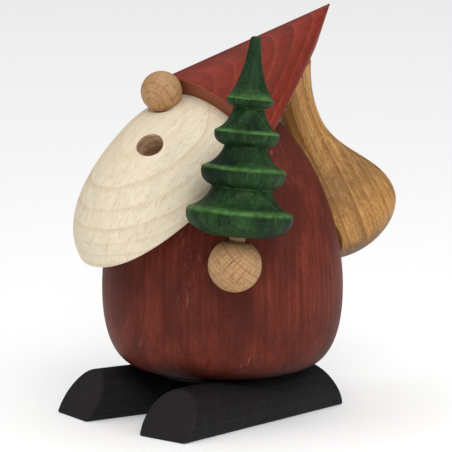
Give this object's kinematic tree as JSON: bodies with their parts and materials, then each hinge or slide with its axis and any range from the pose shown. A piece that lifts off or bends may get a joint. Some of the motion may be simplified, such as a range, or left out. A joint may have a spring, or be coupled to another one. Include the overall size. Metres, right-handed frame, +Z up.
{
  "type": "gnome incense smoker",
  "caption": "Turned-wood incense smoker shaped as a gnome with a cone hat, egg body, half-egg beard, small tree and sack; the hollow figure lifts off a plug on two feet.",
  "frame": {"origin": "on the standing surface, under the middle of the smoker's overall outline", "axes": "+Z up, -Y the way the gnome looks, +X towards its left hand with the tree"},
  "size_m": [0.112, 0.1448, 0.1502],
  "materials": {
    "black_stain": "matte stain over visible grain",
    "dowel_beech": "unfinished",
    "plate_metal": "satin",
    "red_stain": "semi-gloss translucent stain",
    "pale_wood": "satin",
    "hat_stain": "satin translucent stain",
    "ball_beech": "satin",
    "golden_wood": "satin",
    "green_stain": "satin translucent stain"
  },
  "bodies": {
    "base": {"foot_left": "black_stain", "foot_right": "black_stain", "foot_dowels_left": "dowel_beech", "foot_dowels_right": "dowel_beech", "base_plug": "black_stain", "incense_plate": "plate_metal", "plate_nail": "plate_metal"},
    "figure": {"body_shell": "red_stain", "beard": "pale_wood", "beard_dowel": "dowel_beech", "hat": "hat_stain", "hat_dowel": "dowel_beech", "nose": "ball_beech", "nose_dowel": "dowel_beech", "sack": "golden_wood", "sack_dowel": "dowel_beech", "hand": "ball_beech", "hand_dowel": "dowel_beech", "tree": "green_stain", "tree_peg": "dowel_beech"}
  },
  "joints": [
    {"name": "figure_lift", "type": "slide", "parent": "base", "child": "figure", "axis": [0, 0, 1], "range_m": [0, 0.06]}
  ]
}
